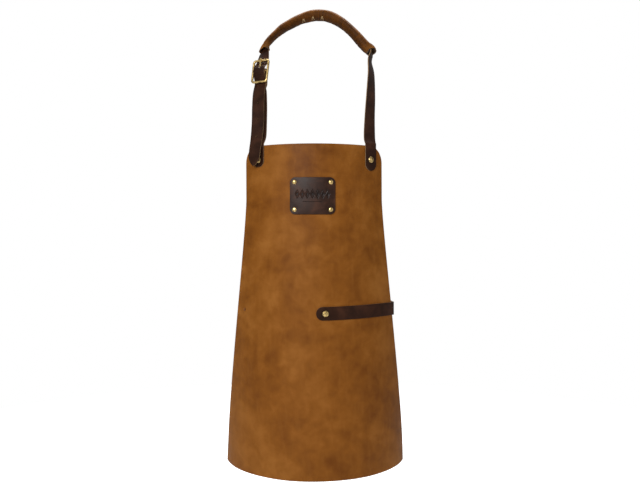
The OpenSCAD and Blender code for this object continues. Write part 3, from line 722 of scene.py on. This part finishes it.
def strap(name, lay, punches, materials, nodes, edge_round, pointed=False, lift=None):
    """A strap cut flat, punched, and laid along its line."""
    near = [STRAP_W / 2 * (1 - math.cos(math.radians(7.5 * k))) for k in range(1, 13)]
    far = [lay.length - e for e in reversed(near)]
    if pointed:
        far = [lay.length - POINT_L * (1 - k / 12) ** 1.4 for k in range(0, 12)] + [lay.length - 0.15 * MM]
    count = math.ceil((far[0] - near[-1]) / (3 * MM))
    middle = [near[-1] + (far[0] - near[-1]) * i / count for i in range(1, count)]
    stations = near + middle + far
    bm = grid(len(stations) - 1, 8)
    for vertex in bm.verts:
        s = stations[round(vertex.co.x * (len(stations) - 1))]
        half = min(end_half(s, False), end_half(lay.length - s, pointed))
        vertex.co = (s, (vertex.co.y * 2 - 1) * half, 0)
    obj = flat_object(name, bm, STRAP_T, edge_round)
    cutter = punch(punches) if punches else None
    if cutter:
        cut = obj.modifiers.new("holes", "BOOLEAN")
        cut.object = cutter
        cut.solver = "EXACT"
    mesh = baked(obj)
    if cutter:
        bpy.data.objects.remove(cutter, do_unlink=True)
    sort_faces(mesh)

    def place(co):
        at, _, across, outward = lay.at(co.x)
        rise = lift(co.x, co.y) if lift else 0.0
        return at - across * co.y + outward * (co.z + rise)

    return piece(name, bent(mesh, place), materials, nodes)


def settings():
    return bpy.context.scene.apron_sizes, bpy.context.scene.apron_colours


# --- Operators ------------------------------------------------------------------------------------

def panel_half(h):
    """Half width of the flat panel at a height above the hem."""
    spread = max(SPREAD_H - h, 0.0) / SPREAD_H
    body = CHEST_HALF + (HEM_HALF - CHEST_HALF) * spread ** 1.25
    e = max(h - (TOP_Z - HEM_Z - CORNER_R), 0.0)
    return body - (CORNER_R - math.sqrt(max(CORNER_R ** 2 - e ** 2, 0.0)))


def panel_turn(h):
    """Angle that the panel is turned about its axis at a height above the hem."""
    return HEM_TURN + (TOP_TURN - HEM_TURN) * h / (TOP_Z - HEM_Z)


class APRON_OT_panel(bpy.types.Operator):
    """Cut the leather panel flat and bend it into the curve in which it hangs"""
    bl_idname = "apron.panel"
    bl_label = "Leather panel"

    def execute(self, context):
        sizes, colours = settings()
        height = TOP_Z - HEM_Z
        heights = [(height - CORNER_R) * i / 150 for i in range(150)]
        heights += [height - CORNER_R + CORNER_R * math.sin(math.radians(7.5 * k)) for k in range(13)]
        heights[-1] = height
        bm = grid(120, len(heights) - 1)
        for vertex in bm.verts:
            h = heights[round(vertex.co.y * (len(heights) - 1))]
            vertex.co = ((vertex.co.x * 2 - 1) * panel_half(h), h, 0)
        obj = flat_object("apron_panel_leather", bm, PANEL_T, sizes.edge_round, -1.0)
        mesh = baked(obj)
        sort_faces(mesh)

        def place(co):
            free = min(max((WAIST_Z - HEM_Z - 40 * MM - co.y) / (300 * MM), 0.0), 1.0)
            wave_in = noise.noise(Vector((co.x * 7, co.y * 3, 2.0))) * sizes.hem_wave * free * free * 2
            angle = math.degrees(co.x / PANEL_R) + panel_turn(co.y)
            return around(angle, PANEL_R + co.z + wave_in, HEM_Z + co.y)

        materials = [
            finish("panel_grain", tan_grain, colours, 7.0),
            finish("panel_flesh", suede, colours.flesh),
            finish("panel_edge", cut_edge, colours.tan_dark, [c * 0.4 for c in colours.tan_dark]),
        ]
        panel = piece("apron_panel_leather", bent(mesh, place), materials, ["apron_panel"])
        area = 0.0
        for low, high in zip(heights, heights[1:]):
            area += (panel_half(low) + panel_half(high)) * (high - low)
        return {"FINISHED"}


def lozenge_line(x, z, half_w, half_h, line):
    """How deep a lozenge's outline is pressed at a place, from 0 to 1."""
    reach = abs(x) / half_w + abs(z) / half_h
    scale = half_w * half_h / math.hypot(half_w, half_h)
    return max(0.0, 1.0 - (abs(reach - 1.0) * scale / line) ** 2)


def pressed_at(x, z, count):
    """How deep the label is pressed at a place, from 0 to 1."""
    pitch = 84 * MM / count
    nearest = round(x / pitch + (count - 1) / 2) - (count - 1) / 2
    nearest = min(max(nearest, -(count - 1) / 2), (count - 1) / 2)
    dx = x - nearest * pitch
    dz = z - 4 * MM
    deep = lozenge_line(dx, dz, pitch * 0.42, 10 * MM, 0.9 * MM)
    inner = abs(dx) / (pitch * 0.2) + abs(dz) / (5 * MM)
    deep = max(deep, 1.0 if inner < 1 else max(0.0, 1 - (inner - 1) * 4))
    rule = max(0.0, 1.0 - ((z + 14 * MM) / (0.7 * MM)) ** 2) if abs(x) < 22 * MM else 0.0
    return max(deep, rule)


def label_angle(x):
    """Angle about the panel's axis of a place on the label."""
    return panel_turn(LABEL_Z - HEM_Z) + math.degrees((LABEL_X + x) / PANEL_R)


class APRON_OT_label(bpy.types.Operator):
    """Cut the label, press its pattern and lay it on the panel"""
    bl_idname = "apron.label"
    bl_label = "Pressed label"

    def execute(self, context):
        sizes, colours = settings()
        bm = grid(154, 128)
        half_w = LABEL_W / 2
        half_h = LABEL_H / 2
        for vertex in bm.verts:
            x = (vertex.co.x * 2 - 1) * half_w
            z = (vertex.co.y * 2 - 1) * half_h
            over_x = abs(x) - (half_w - LABEL_CORNER)
            over_z = abs(z) - (half_h - LABEL_CORNER)
            if over_x > 0 and over_z > 0:
                reach = math.hypot(over_x, over_z)
                shrink = max(over_x, over_z) / reach
                x = math.copysign(half_w - LABEL_CORNER + over_x * shrink, x)
                z = math.copysign(half_h - LABEL_CORNER + over_z * shrink, z)
            vertex.co = (x, z, 0)
        mesh = baked(flat_object("label_patch_leather", bm, STRAP_T, sizes.edge_round * 1.4, 0.0))
        sort_faces(mesh)
        mark = mesh.attributes.new("pressed", "FLOAT", "POINT")
        for vertex in mesh.vertices:
            if vertex.co.z > 0:
                mark.data[vertex.index].value = pressed_at(vertex.co.x, vertex.co.y, sizes.lozenges)

        rivets = [(sx * LABEL_RIVET_X, sz * LABEL_RIVET_Z) for sx in (-1, 1) for sz in (-1, 1)]
        depths = [entry.value for entry in mark.data]

        def bulge(x, z):
            rise = (1 - (x / half_w) ** 4) * (1 - (z / half_h) ** 4)
            for rx, rz in rivets:
                rise *= 1 - math.exp(-((x - rx) ** 2 + (z - rz) ** 2) / (9 * MM) ** 2)
            return rise * sizes.label_bulge

        for vertex, depth in zip(mesh.vertices, depths):
            x, z, proud = vertex.co
            proud += bulge(x, z) - depth * sizes.press_depth
            vertex.co = around(label_angle(x), OUTER_R + proud, LABEL_Z + z)
        mesh.update()
        piece("label_patch_leather", mesh, leather_set(colours, True), ["label_patch"])
        return {"FINISHED"}


def dome(bm, radius, height):
    """A domed rivet cap with a rolled rim, standing on z = 0 at the origin."""
    rim = height * 0.22
    profile = [(0.0, height)]
    for k in range(1, 9):
        angle = math.radians(90 * k / 8)
        profile.append((radius * 0.95 * math.sin(angle), rim + (height - rim) * math.cos(angle) ** 0.85))
    profile += [(radius, rim * 0.75), (radius * 0.985, 0.0), (0.0, 0.0)]
    verts = [bm.verts.new((x, 0, z)) for x, z in profile]
    edges = [bm.edges.new(pair) for pair in zip(verts, verts[1:])]
    bmesh.ops.spin(
        bm, geom=verts + edges, cent=(0, 0, 0), axis=(0, 0, 1), angle=2 * math.pi, steps=40, use_merge=True)


class APRON_OT_rivets(bpy.types.Operator):
    """Turn the domed brass caps and set them on the panel"""
    bl_idname = "apron.rivets"
    bl_label = "Rivet caps"

    def execute(self, context):
        _, colours = settings()
        brass = [finish("old_brass", old_brass, colours)]
        on_strap = PANEL_R + LAYER_GAP + STRAP_T
        label = [
            (label_angle(sx * LABEL_RIVET_X), LABEL_Z + sz * LABEL_RIVET_Z) for sx in (-1, 1) for sz in (-1, 1)]
        neck = [(s * NECK_ANGLE, NECK_RIVET_Z) for s in (-1, 1)]
        groups = [
            ("label_caps", label, 5.5 * MM, 2.8 * MM, "label_rivet_caps"),
            ("neck_caps", neck, 7.5 * MM, 3.6 * MM, "neck_rivet_caps"),
            ("waist_cap", [(WAIST_RIVET_A, WAIST_Z)], 7.5 * MM, 3.6 * MM, "waist_front_rivet_cap"),
        ]
        for name, places, radius, height, node in groups:
            bm = bmesh.new()
            for angle, z in places:
                cap = bmesh.new()
                dome(cap, radius, height)
                bmesh.ops.remove_doubles(cap, verts=cap.verts, dist=0.001 * MM)
                bmesh.ops.recalc_face_normals(cap, faces=cap.faces)
                turn = math.radians(angle)
                for vertex in cap.verts:
                    x, y, up = vertex.co
                    reach = on_strap + 0.1 * MM + up
                    vertex.co = (
                        reach * math.sin(turn) + x * math.cos(turn),
                        AXIS_Y - reach * math.cos(turn) + x * math.sin(turn),
                        z + y)
                bmesh.ops.recalc_face_normals(cap, faces=cap.faces)
                mesh = bpy.data.meshes.new("cap")
                cap.to_mesh(mesh)
                cap.free()
                bm.from_mesh(mesh)
                bpy.data.meshes.remove(mesh)
            mesh = bpy.data.meshes.new(name)
            bm.to_mesh(mesh)
            bm.free()
            piece(name, mesh, brass, [node], sharp=60)
        return {"FINISHED"}


def buckle_slot(lay, place):
    """The long hole that a buckle's prong stands through: its middle and its length."""
    start = lay.nearest(place(wave_at(19), 19))
    stop = lay.nearest(place(wave_at(4.5), 4.5))
    return (start + stop) / 2, abs(stop - start)


class APRON_OT_neck_straps(bpy.types.Operator):
    """Cut, punch and lay the two neck straps"""
    bl_idname = "apron.neck_straps"
    bl_label = "Neck straps"

    def execute(self, context):
        sizes, colours = settings()
        lay = neck_lay()
        middle, length = buckle_slot(lay, lambda y, z: neck_place(y, z) * MM)
        holes = [(lay.length - FIRST_HOLE - i * HOLE_PITCH, 0, 2.5 * MM, 5 * MM) for i in range(HOLE_COUNT)]
        strap("neck_strap_leather", lay, holes + [(middle, 0, 2.6 * MM, length)], leather_set(colours),
              ["neck_strap"], sizes.edge_round, pointed=True)
        lay = neck_fold_lay()
        top = lay.nearest(neck_place(0, FOLD_R) * MM)
        strap("neck_buckle_strap_leather", lay, [(top, 0, 2.8 * MM, 28 * MM)], leather_set(colours),
              ["neck_buckle_strap"], sizes.edge_round)
        return {"FINISHED"}


class APRON_OT_waist_straps(bpy.types.Operator):
    """Cut, punch and lay the two halves of the waist strap"""
    bl_idname = "apron.waist_straps"
    bl_label = "Waist straps"

    def execute(self, context):
        sizes, colours = settings()
        lay = waist_right_lay()
        middle, length = buckle_slot(lay, lambda y, z: waist_place(y, z) * MM)
        strap("waist_strap_right_leather", lay, [(middle, 0, 2.6 * MM, length)], leather_set(colours),
              ["waist_strap_right"], sizes.edge_round, pointed=True)
        lay = waist_left_lay()
        top = lay.nearest(waist_place(0, FOLD_R) * MM)
        strap("waist_strap_left_leather", lay, [(top, 0, 2.8 * MM, 28 * MM)], leather_set(colours),
              ["waist_strap_left"], sizes.edge_round)
        return {"FINISHED"}


def oval(a, b, power, count):
    """Places round an oval that grows squarer with its power, at even distances, from its top round."""
    fine = 720
    ring = []
    for k in range(fine):
        t = 2 * math.pi * k / fine - math.pi / 2
        c, s = math.cos(t), math.sin(t)
        ring.append(Vector((
            a * math.copysign(abs(c) ** (2 / power), c), b * math.copysign(abs(s) ** (2 / power), s))))
    run = [0.0]
    for p, q in zip(ring, ring[1:] + ring[:1]):
        run.append(run[-1] + (q - p).length)
    even = []
    for k in range(count + 1):
        i = min(bisect.bisect_left(run, run[-1] * k / count), fine)
        even.append(ring[i % fine])
    return even


def pad_share(u):
    """Share of the pad's thickness along its length, from right to left."""
    i = min(max(bisect.bisect_right([place for place, _ in PAD_PROFILE], u), 1), len(PAD_PROFILE) - 1)
    (u0, low), (u1, high) = PAD_PROFILE[i - 1:i + 1]
    t = min(max((u - u0) / (u1 - u0), 0.0), 1.0)
    return low + (high - low) * t * t * (3 - 2 * t)


def pad_ring(inset, count):
    return oval(PAD_W / 2 - inset, PAD_T / 2 - inset, PAD_POWER, count)


class APRON_OT_neck_pad(bpy.types.Operator):
    """Wrap the leather sleeve round its foam, creased where it bends"""
    bl_idname = "apron.neck_pad"
    bl_label = "Neck pad"

    def execute(self, context):
        sizes, colours = settings()
        lay = pad_lay()
        along_count, girth_count = 190, PAD_GIRTH
        ring = pad_ring(0.0, girth_count)
        bm = grid(along_count, girth_count)
        flat = bm.loops.layers.uv.new("flat")
        girth = sum((q - p).length for p, q in zip(ring, ring[1:]))
        for face in bm.faces:
            for loop in face.loops:
                loop[flat].uv = (loop.vert.co.x * lay.length, loop.vert.co.y * girth)
        for vertex in bm.verts:
            u, k = vertex.co.x, round(vertex.co.y * girth_count)
            at, along, across, outward = lay.at(u * lay.length)
            x, y = ring[k]
            under = max(y / (PAD_T / 2), 0.0)
            swell = pad_share(u)
            s = u * lay.length
            crease = math.sin(s / (5.2 * MM) + 4 * noise.noise(Vector((s * 30, k * 0.05, 0))))
            crease *= noise.noise(Vector((s * 45, k * 0.16, 7.0))) * 1.6
            lumps = noise.noise(Vector((s * 28, k * 0.09, 3.0)))
            proud = sizes.wrinkle * (crease * (0.25 + 0.75 * under ** 2) + lumps * 0.9)
            radial = Vector((x, y)).normalized() * proud
            seam = math.exp(-(min(k, girth_count - k) / 2.2) ** 2)
            vertex.co = at + across * (x + radial.x) - outward * (y * swell + radial.y + seam * 0.5 * MM)
        bmesh.ops.recalc_face_normals(bm, faces=bm.faces)
        probe = bm.faces[0]
        middle = lay.at(lay.length * 0.01)[0]
        if (probe.calc_center_median() - middle).dot(probe.normal) < 0:
            bmesh.ops.reverse_faces(bm, faces=bm.faces)
        mesh = bpy.data.meshes.new("neck_pad_sleeve")
        bm.to_mesh(mesh)
        bm.free()
        obj = link(bpy.data.objects.new("neck_pad_sleeve", mesh))
        wall = obj.modifiers.new("wall", "SOLIDIFY")
        wall.thickness = 1.8 * MM
        wall.offset = -1.0
        wall.material_offset = 1
        wall.material_offset_rim = 2
        edge = obj.modifiers.new("edges", "BEVEL")
        edge.width = 0.4 * MM
        edge.segments = 2
        edge.limit_method = "ANGLE"
        edge.angle_limit = math.radians(60)
        for count in range(3):
            mesh.materials.append(None)
        sleeve = piece("neck_pad_sleeve", baked(obj), [
            finish("pad_grain", pad_grain, colours, lay.length / 2),
            finish("pad_flesh", suede, [channel * 0.3 for channel in colours.flesh]),
            finish("pad_edge", cut_edge, colours.tan_light, colours.tan_dark),
        ], ["neck_pad_cover"], sharp=50)
        return {"FINISHED"}


class APRON_OT_neck_foam(bpy.types.Operator):
    """Roll the foam that fills the neck pad, with the strap's passage through it"""
    bl_idname = "apron.neck_foam"
    bl_label = "Foam roll"

    def execute(self, context):
        lay = pad_lay()
        count, steps = 32, 40
        outer = pad_ring(3.4 * MM, count)[:-1]
        inner = oval(STRAP_W / 2 + 0.9 * MM, STRAP_T / 2 + 1.2 * MM, 8, count)[:-1]
        right_inset, left_inset = 12 * MM, 62 * MM
        bm = bmesh.new()
        ends = []
        for ring in (outer, inner):
            rows = []
            for i in range(steps + 1):
                s = right_inset + (lay.length - right_inset - left_inset) * i / steps
                at, along, across, outward = lay.at(s)
                if i == 0:
                    verts = bmesh.ops.create_circle(bm, segments=count, radius=1.0)["verts"]
                    edges = list({edge for vertex in verts for edge in vertex.link_edges})
                else:
                    made = bmesh.ops.extrude_edge_only(bm, edges=edges)["geom"]
                    fresh = [g for g in made if isinstance(g, bmesh.types.BMVert)]
                    edges = [g for g in made if isinstance(g, bmesh.types.BMEdge)
                             and all(v in fresh for v in g.verts)]
                    order = {}
                    for vertex in verts:
                        order[vertex] = next(e.other_vert(vertex) for e in vertex.link_edges
                                             if e.other_vert(vertex) in fresh)
                    verts = [order[vertex] for vertex in verts]
                share = pad_share(s / lay.length) if ring is outer else 1.0
                for vertex, (x, y) in zip(verts, ring):
                    vertex.co = at + across * x - outward * y * share
                rows.append(edges)
            ends.append((rows[0], rows[-1]))
        for side in (0, 1):
            bmesh.ops.bridge_loops(bm, edges=ends[0][side] + ends[1][side])
        bmesh.ops.recalc_face_normals(bm, faces=bm.faces)
        mesh = bpy.data.meshes.new("neck_pad_roll")
        bm.to_mesh(mesh)
        bm.free()
        roll = piece("neck_pad_roll", mesh, [finish("closed_foam", closed_foam)], ["neck_pad_foam"])
        return {"FINISHED"}


class APRON_OT_lacing(bpy.types.Operator):
    """Lace the seam under the neck pad"""
    bl_idname = "apron.lacing"
    bl_label = "Lacing"

    def execute(self, context):
        sizes, colours = settings()
        lay = pad_lay()
        pitch = 29 * MM
        count = 3
        ring = pad_ring(0.0, PAD_GIRTH)
        curve = bpy.data.curves.new("neck_pad_thread", "CURVE")
        curve.dimensions = "3D"
        curve.bevel_depth = sizes.thread / 2
        curve.bevel_resolution = 2
        curve.use_fill_caps = True
        for i in range(count):
            middle = lay.length / 2 + 14 * MM + (i - (count - 1) / 2) * pitch
            for lean in (-1, 1):
                spline = curve.splines.new("POLY")
                spline.points.add(6)
                for j, point in enumerate(spline.points):
                    t = j / 6
                    s = middle + lean * (0.7 + 3.4 * t) * MM
                    k = PAD_GIRTH / 2 - 12.5 + 8.5 * t
                    a, b = ring[math.floor(k)], ring[math.ceil(k)]
                    x, y = a.lerp(b, k - math.floor(k))
                    at, along, across, outward = lay.at(s)
                    lift = (1.3 - 2.4 * abs(2 * t - 1) ** 6) * MM
                    radial = Vector((x, y)).normalized() * lift
                    place = at + across * (x + radial.x) - outward * (y * pad_share(s / lay.length) + radial.y)
                    point.co = (*place, 1.0)
        obj = link(bpy.data.objects.new("neck_pad_thread", curve))
        mesh = baked(obj)
        piece("neck_pad_thread", mesh, [finish("waxed_thread", waxed_thread, colours)],
              ["neck_pad_lacing"], sharp=80)
        return {"FINISHED"}


class APRON_OT_hardware(bpy.types.Operator):
    """Give the buckles, prongs and rivet backs their metal"""
    bl_idname = "apron.hardware"
    bl_label = "Hardware"

    def execute(self, context):
        _, colours = settings()
        brass = finish("old_brass", old_brass, colours)
        tan = finish("tan_enamel", tan_enamel, colours)
        for name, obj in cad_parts.items():
            if "rivet" in name or "buckle_frame" in name or "prong" in name:
                obj.data.materials.clear()
                obj.data.materials.append(tan if name == "waist_side_rivet_cap" else brass)
        return {"FINISHED"}


def lamp(name, place, target, size, power, colour=(1, 1, 1)):
    light = bpy.data.lights.new(name, "AREA")
    light.shape = "RECTANGLE"
    light.size, light.size_y = size
    light.energy = power
    light.color = colour
    obj = link(bpy.data.objects.new(name, light))
    obj.location = place
    obj.rotation_euler = (Vector(target) - Vector(place)).to_track_quat("-Z", "Y").to_euler()
    return obj


class APRON_OT_stage(bpy.types.Operator):
    """Set the floor, the soft lights and the camera"""
    bl_idname = "apron.stage"
    bl_label = "Stage"

    def execute(self, context):
        _, colours = settings()
        scene = context.scene
        scene.view_settings.view_transform = "Standard"
        scene.view_settings.look = "None"
        world = bpy.data.worlds.new("studio")
        world.use_nodes = True
        seen = world.node_tree.nodes.new("ShaderNodeLightPath").outputs["Is Camera Ray"]
        level = world.node_tree.nodes.new("ShaderNodeMapRange")
        level.inputs["To Min"].default_value = 0.3
        level.inputs["To Max"].default_value = 1.0
        background = world.node_tree.nodes["Background"].inputs
        world.node_tree.links.new(seen, level.inputs["Value"])
        world.node_tree.links.new(level.outputs["Result"], background["Strength"])
        background["Color"].default_value = (1, 1, 1, 1)
        scene.world = world

        bm = bmesh.new()
        bmesh.ops.create_circle(bm, cap_ends=True, segments=96, radius=2.2)
        bmesh.ops.translate(bm, verts=bm.verts, vec=(0, 0, HEM_Z - 0.25))
        mesh = bpy.data.meshes.new("floor")
        bm.to_mesh(mesh)
        bm.free()
        floor = Finish("studio_floor", "Object")
        glow = floor.maths("MULTIPLY", floor.node("ShaderNodeLightPath").outputs["Is Camera Ray"], 0.85)
        floor.shader.inputs["Emission Color"].default_value = (1, 1, 1, 1)
        floor.tree.links.new(glow, floor.shader.inputs["Emission Strength"])
        mesh.materials.append(floor.set(color=colours.floor, roughness=0.9, specular=0.1))
        link(bpy.data.objects.new("floor", mesh))

        middle = (0, 0, HEM_Z + 0.6)
        lamp("key", (-1.0, -2.7, 0.5), middle, (1.5, 1.5), 62)
        lamp("fill", (2.2, -1.9, -0.2), middle, (1.4, 1.4), 5)
        lamp("top", (0.1, 0.5, 1.5), (0, -0.05, 0), (1.4, 0.8), 42)

        lens = bpy.data.cameras.new("camera")
        lens.sensor_width = 36
        lens.lens = 38.03
        camera = link(bpy.data.objects.new("camera", lens))
        camera.location = (0.013, PANEL_LOW.y - 1.597, HEM_Z + 0.5585)
        camera.rotation_euler = (math.radians(90), 0, 0)
        scene.camera = camera
        return {"FINISHED"}


class APRON_PT_making(bpy.types.Panel):
    """Lists the steps that make the apron"""
    bl_label = "Apron"
    bl_idname = "APRON_PT_making"
    bl_space_type = "VIEW_3D"
    bl_region_type = "UI"
    bl_category = "Apron"

    def draw(self, context):
        for group in (context.scene.apron_sizes, context.scene.apron_colours):
            box = self.layout.box()
            for name in group.bl_rna.properties.keys():
                if name not in {"rna_type", "name"}:
                    box.prop(group, name)
        for step in STEPS:
            self.layout.operator(step.bl_idname)


STEPS = (
    APRON_OT_neck_straps, APRON_OT_waist_straps, APRON_OT_panel, APRON_OT_label, APRON_OT_rivets,
    APRON_OT_neck_pad, APRON_OT_neck_foam, APRON_OT_lacing, APRON_OT_hardware, APRON_OT_stage,
)
CLASSES = (ApronSizes, ApronColours, *STEPS, APRON_PT_making)


def register():
    for cls in CLASSES:
        bpy.utils.register_class(cls)
    bpy.types.Scene.apron_sizes = PointerProperty(type=ApronSizes)
    bpy.types.Scene.apron_colours = PointerProperty(type=ApronColours)


def unregister():
    del bpy.types.Scene.apron_sizes
    del bpy.types.Scene.apron_colours
    for cls in reversed(CLASSES):
        bpy.utils.unregister_class(cls)


def main():
    register()
    for step in STEPS:
        group, name = step.bl_idname.split(".")
        if getattr(getattr(bpy.ops, group), name)() != {"FINISHED"}:
            raise RuntimeError(step.bl_label + " wasn't made")


if __name__ == "__main__":
    main()
